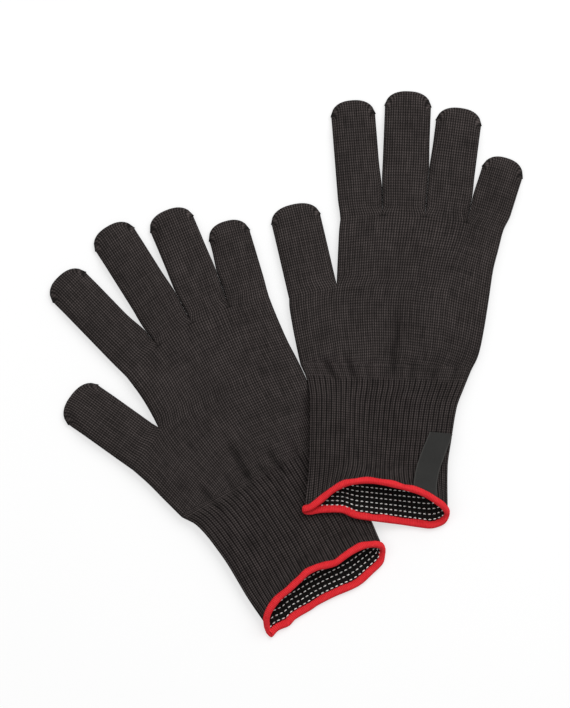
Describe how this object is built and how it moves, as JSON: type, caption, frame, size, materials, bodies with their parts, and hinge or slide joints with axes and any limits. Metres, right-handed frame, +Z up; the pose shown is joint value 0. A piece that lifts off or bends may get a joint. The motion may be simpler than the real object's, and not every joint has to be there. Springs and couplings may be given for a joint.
{
  "type": "heat resistant glove pair",
  "caption": "Pair of thin knitted work gloves with ribbed cuffs and overlocked edges, laid flat; every digit, both wrists and a blank label bend.",
  "frame": {"origin": "middle of the pair's bounding box, on the table that the gloves lie on", "axes": "+Z up from the table; +Y away from the viewer, the way the right glove's fingers point; +X to the viewer's right"},
  "size_m": [0.2708, 0.3118, 0.0261],
  "materials": {
    "fine_knit": "fine jersey knit, charcoal",
    "rib_knit": "rib knit, charcoal",
    "red_edging": "overlock stitching, red",
    "elastic_thread": "covered elastic thread, white",
    "label_tape": "woven tape, plain"
  },
  "bodies": {
    "left_hand": {"left_hand": "fine_knit", "left_wrist": "fine_knit", "left_thumb_root": "fine_knit", "left_index_finger_root": "fine_knit", "left_middle_finger_root": "fine_knit", "left_ring_finger_root": "fine_knit", "left_little_finger_root": "fine_knit"},
    "left_cuff": {"left_ribbed_cuff": "rib_knit", "left_cuff_edge": "red_edging", "left_elastic_threads": "elastic_thread"},
    "left_thumb": {"left_thumb": "fine_knit"},
    "left_index_finger": {"left_index_finger": "fine_knit"},
    "left_middle_finger": {"left_middle_finger": "fine_knit"},
    "left_ring_finger": {"left_ring_finger": "fine_knit"},
    "left_little_finger": {"left_little_finger": "fine_knit"},
    "right_hand": {"right_hand": "fine_knit", "right_wrist": "fine_knit", "right_thumb_root": "fine_knit", "right_index_finger_root": "fine_knit", "right_middle_finger_root": "fine_knit", "right_ring_finger_root": "fine_knit", "right_little_finger_root": "fine_knit"},
    "right_cuff": {"right_ribbed_cuff": "rib_knit", "right_cuff_edge": "red_edging", "right_elastic_threads": "elastic_thread"},
    "right_thumb": {"right_thumb": "fine_knit"},
    "right_index_finger": {"right_index_finger": "fine_knit"},
    "right_middle_finger": {"right_middle_finger": "fine_knit"},
    "right_ring_finger": {"right_ring_finger": "fine_knit"},
    "right_little_finger": {"right_little_finger": "fine_knit"},
    "right_label": {"right_label": "label_tape"}
  },
  "joints": [
    {"name": "right_lift_off", "type": "slide", "parent": "left_hand", "child": "right_hand", "axis": [0, 0, 1], "range_m": [0, 0.3]},
    {"name": "left_wrist_bend", "type": "hinge", "parent": "left_hand", "child": "left_cuff", "pos_m": [-0.01572, -0.07214, 0.0035], "axis": [0.866, 0.5, 0], "range_deg": [0, 70], "deforming": ["left_wrist"]},
    {"name": "left_thumb_bend", "type": "hinge", "parent": "left_hand", "child": "left_thumb", "pos_m": [-0.08187, -0.05237, 0.003], "axis": [0.5878, 0.809, 0], "range_deg": [-30, 80], "deforming": ["left_thumb_root"]},
    {"name": "left_index_finger_bend", "type": "hinge", "parent": "left_hand", "child": "left_index_finger", "pos_m": [-0.08432, -0.00112, 0.003], "axis": [0.866, 0.5, 0], "range_deg": [-30, 90], "deforming": ["left_index_finger_root"]},
    {"name": "left_middle_finger_bend", "type": "hinge", "parent": "left_hand", "child": "left_middle_finger", "pos_m": [-0.06575, 0.01491, 0.003], "axis": [0.866, 0.5, 0], "range_deg": [-30, 90], "deforming": ["left_middle_finger_root"]},
    {"name": "left_ring_finger_bend", "type": "hinge", "parent": "left_hand", "child": "left_ring_finger", "pos_m": [-0.04514, 0.02681, 0.003], "axis": [0.866, 0.5, 0], "range_deg": [-30, 90], "deforming": ["left_ring_finger_root"]},
    {"name": "left_little_finger_bend", "type": "hinge", "parent": "left_hand", "child": "left_little_finger", "pos_m": [-0.02263, 0.03483, 0.003], "axis": [0.866, 0.5, 0], "range_deg": [-30, 90], "deforming": ["left_little_finger_root"]},
    {"name": "right_wrist_bend", "type": "hinge", "parent": "right_hand", "child": "right_cuff", "pos_m": [0.05578, -0.01054, 0.0035], "axis": [-0.9994, 0.0349, 0], "range_deg": [0, 70], "deforming": ["right_wrist"]},
    {"name": "right_thumb_bend", "type": "hinge", "parent": "right_hand", "child": "right_thumb", "pos_m": [0.01411, 0.03964, 0.003], "axis": [-0.9751, -0.2215, 0], "range_deg": [-30, 80], "deforming": ["right_thumb_root"]},
    {"name": "right_index_finger_bend", "type": "hinge", "parent": "right_hand", "child": "right_index_finger", "pos_m": [0.04197, 0.084, 0.003], "axis": [-0.9994, 0.0349, 0], "range_deg": [-30, 90], "deforming": ["right_index_finger_root"]},
    {"name": "right_middle_finger_bend", "type": "hinge", "parent": "right_hand", "child": "right_middle_finger", "pos_m": [0.06639, 0.08425, 0.003], "axis": [-0.9994, 0.0349, 0], "range_deg": [-30, 90], "deforming": ["right_middle_finger_root"]},
    {"name": "right_ring_finger_bend", "type": "hinge", "parent": "right_hand", "child": "right_ring_finger", "pos_m": [0.09086, 0.08269, 0.003], "axis": [-0.9994, 0.0349, 0], "range_deg": [-30, 90], "deforming": ["right_ring_finger_root"]},
    {"name": "right_little_finger_bend", "type": "hinge", "parent": "right_hand", "child": "right_little_finger", "pos_m": [0.11417, 0.07698, 0.003], "axis": [-0.9994, 0.0349, 0], "range_deg": [-30, 90], "deforming": ["right_little_finger_root"]},
    {"name": "right_label_lift", "type": "hinge", "parent": "right_cuff", "child": "right_label", "pos_m": [0.07957, -0.07614, 0.01491], "axis": [0.9781, -0.2034, 0.0432], "range_deg": [0, 90]}
  ]
}
